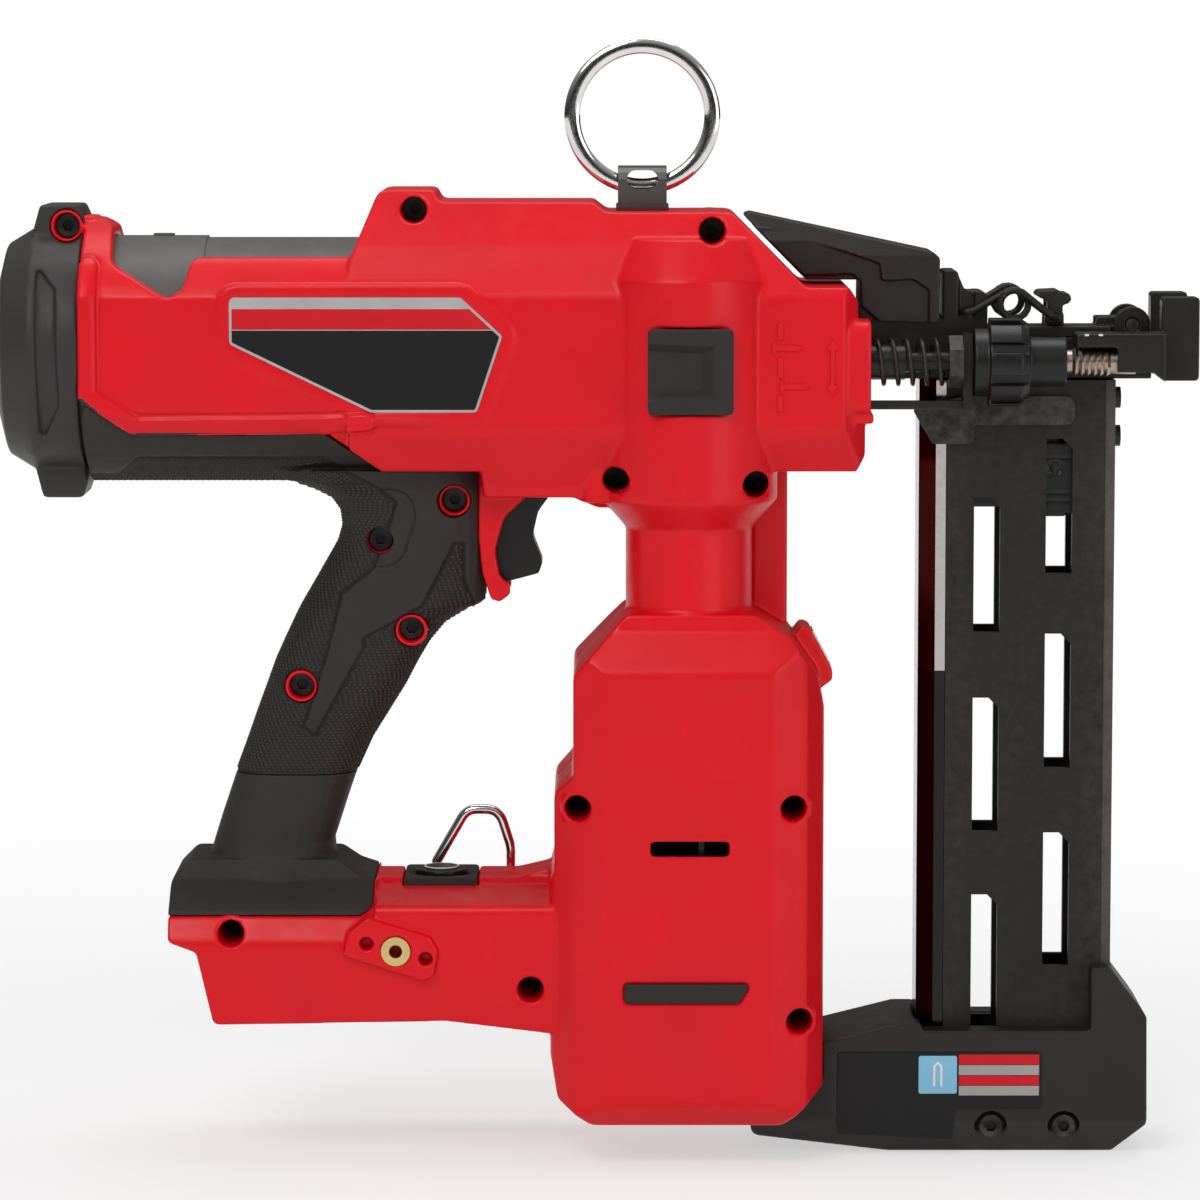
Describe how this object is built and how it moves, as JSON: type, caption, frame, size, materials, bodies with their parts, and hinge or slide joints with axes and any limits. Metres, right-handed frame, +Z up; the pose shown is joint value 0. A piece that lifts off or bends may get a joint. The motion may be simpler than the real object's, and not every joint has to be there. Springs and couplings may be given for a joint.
{
  "type": "cordless fencing stapler",
  "caption": "Hand-held cordless stapler for fence wire: gas spring driver, motor and lifter in a red shell, side depth wheel, sprung contact foot, slotted upright magazine",
  "frame": {"origin": "centre of the battery seat, the roof of the battery bay in the foot", "axes": "+X forward along the drive to the nose, +Y to the left side of the tool, +Z up along the magazine"},
  "size_m": [0.3788, 0.0902, 0.3552],
  "materials": {
    "red_shell": "moulded red plastic",
    "grey_rubber": "soft dark grey skin",
    "cap_plastic": "dark grey glass filled plastic",
    "black_plastic": "black plastic",
    "tank_coat": "grey coated",
    "tool_steel": "ground steel",
    "dark_steel": "black oxide",
    "black_coat": "black anodised",
    "bright_steel": "polished plate",
    "cast_alloy": "die cast",
    "bronze_screw": "plated steel",
    "brass": "turned",
    "copper_winding": "enamelled copper windings on laminations",
    "seal_rubber": "moulded rubber",
    "label_film": "blank silver film",
    "clear_lens": "clear lens"
  },
  "bodies": {
    "tool": {"housing_right": "red_shell", "housing_left": "red_shell", "handle_left": "red_shell", "rear_cap": "cap_plastic", "grip_right": "grey_rubber", "grip_left": "grey_rubber", "foot_boot": "grey_rubber", "gas_tank": "tank_coat", "drive_cylinder": "cast_alloy", "bumper": "seal_rubber", "lifter_frame": "cast_alloy", "ring_gear": "tool_steel", "bearings": "bright_steel", "stator": "copper_winding", "hinge_pins": "tool_steel", "switches": "black_plastic", "control_unit": "black_plastic", "button_bezel": "grey_rubber", "work_light_lens": "clear_lens", "belt_hook_inserts": "brass", "base_loop": "bright_steel", "lanyard_bracket": "tool_steel", "side_pads": "grey_rubber", "blank_plates": "label_film", "screws": "dark_steel", "nose_cover": "black_plastic", "nose_frame": "dark_steel", "trip_guide": "black_plastic", "trip_spring": "dark_steel", "magazine_plate_right": "black_coat", "magazine_plate_left": "black_coat", "magazine_rail": "bright_steel", "magazine_spine": "black_coat", "magazine_strip": "black_coat", "magazine_foot": "black_plastic", "side_bracket": "dark_steel"},
    "driver": {"piston": "cast_alloy", "piston_seals": "seal_rubber", "driver_blade": "tool_steel"},
    "lifter": {"lifter_wheel": "tool_steel", "output_carrier": "tool_steel"},
    "planet_1": {"planet_1": "tool_steel"},
    "planet_2": {"planet_2": "tool_steel"},
    "planet_3": {"planet_3": "tool_steel"},
    "motor_rotor": {"rotor": "tool_steel", "sun_gear": "tool_steel", "fan": "black_plastic"},
    "trigger": {"trigger": "cap_plastic"},
    "mode_button": {"mode_button": "black_plastic"},
    "lanyard_ring": {"lanyard_ring": "bright_steel"},
    "pusher": {"pusher": "black_plastic", "pusher_spring": "tool_steel"},
    "trip": {"trip_link": "dark_steel", "depth_nut": "dark_steel"},
    "depth_wheel": {"depth_wheel": "black_plastic"},
    "depth_foot": {"contact_foot": "dark_steel", "depth_screw": "bronze_screw"},
    "nose_door": {"nose_door": "dark_steel"},
    "latch": {"latch_lever": "black_plastic", "latch_wire": "dark_steel"}
  },
  "joints": [
    {"name": "rotor_spin", "type": "hinge", "parent": "tool", "child": "motor_rotor", "pos_m": [0.1145, -0.01973, 0.01], "axis": [0, 0, 1], "range_deg": [-1890, 0]},
    {"name": "lifter_turn", "type": "hinge", "parent": "tool", "child": "lifter", "pos_m": [0.1145, -0.01973, 0.15], "axis": [0, 0, 1], "range_deg": [-316, 1]},
    {"name": "planet_1_spin", "type": "hinge", "parent": "lifter", "child": "planet_1", "pos_m": [0.128, -0.01973, 0.0665], "axis": [0, 0, 1], "range_deg": [-2, 790]},
    {"name": "planet_2_spin", "type": "hinge", "parent": "lifter", "child": "planet_2", "pos_m": [0.10775, -0.00804, 0.0665], "axis": [0, 0, 1], "range_deg": [-2, 790]},
    {"name": "planet_3_spin", "type": "hinge", "parent": "lifter", "child": "planet_3", "pos_m": [0.10775, -0.03142, 0.0665], "axis": [0, 0, 1], "range_deg": [-2, 790]},
    {"name": "driver_stroke", "type": "slide", "parent": "tool", "child": "driver", "axis": [1, 0, 0], "range_m": [-0.0002, 0.0705]},
    {"name": "trigger_pull", "type": "hinge", "parent": "tool", "child": "trigger", "pos_m": [0.06, 0, 0.16], "axis": [0, 1, 0], "range_deg": [0, 10], "stiffness_Nm_per_rad": 0.8, "springref_deg": -8.59},
    {"name": "mode_press", "type": "slide", "parent": "tool", "child": "mode_button", "axis": [0, 0, -1], "range_m": [0, 0.0012], "stiffness_N_per_m": 1500, "springref_m": -0.0005},
    {"name": "ring_swing", "type": "hinge", "parent": "tool", "child": "lanyard_ring", "pos_m": [0.0998, 0, 0.2504], "axis": [1, 0, 0], "range_deg": [-85, 85]},
    {"name": "pusher_slide", "type": "slide", "parent": "tool", "child": "pusher", "axis": [0, 0, -1], "range_m": [0, 0.15], "stiffness_N_per_m": 40, "springref_m": -0.2},
    {"name": "contact_trip", "type": "slide", "parent": "tool", "child": "trip", "axis": [-1, 0, 0], "range_m": [0, 0.006], "stiffness_N_per_m": 700, "springref_m": -0.01, "deforming": ["trip_spring"]},
    {"name": "depth_wheel_turn", "type": "hinge", "parent": "trip", "child": "depth_wheel", "pos_m": [0.2144, -0.0256, 0.1962], "axis": [1, 0, 0], "range_deg": [-200, 560]},
    {"name": "contact_depth", "type": "slide", "parent": "trip", "child": "depth_foot", "axis": [1, 0, 0], "range_m": [-0.001, 0.003]},
    {"name": "door_hinge", "type": "hinge", "parent": "tool", "child": "nose_door", "pos_m": [0.2548, 0, 0.207], "axis": [0, 1, 0], "range_deg": [0, 75]},
    {"name": "latch_turn", "type": "hinge", "parent": "nose_door", "child": "latch", "pos_m": [0.2305, 0, 0.2094], "axis": [0, 1, 0], "range_deg": [0, 35]}
  ],
  "couplings": [
    {"joint": "lifter_turn", "follows": "rotor_spin", "ratio": 0.16667},
    {"joint": "planet_1_spin", "follows": "rotor_spin", "ratio": -0.41667},
    {"joint": "planet_2_spin", "follows": "rotor_spin", "ratio": -0.41667},
    {"joint": "planet_3_spin", "follows": "rotor_spin", "ratio": -0.41667},
    {"joint": "driver_stroke", "follows": "rotor_spin", "m_per_rad": -0.0021221},
    {"joint": "depth_wheel_turn", "follows": "contact_depth", "rad_per_m": 3141.6}
  ]
}
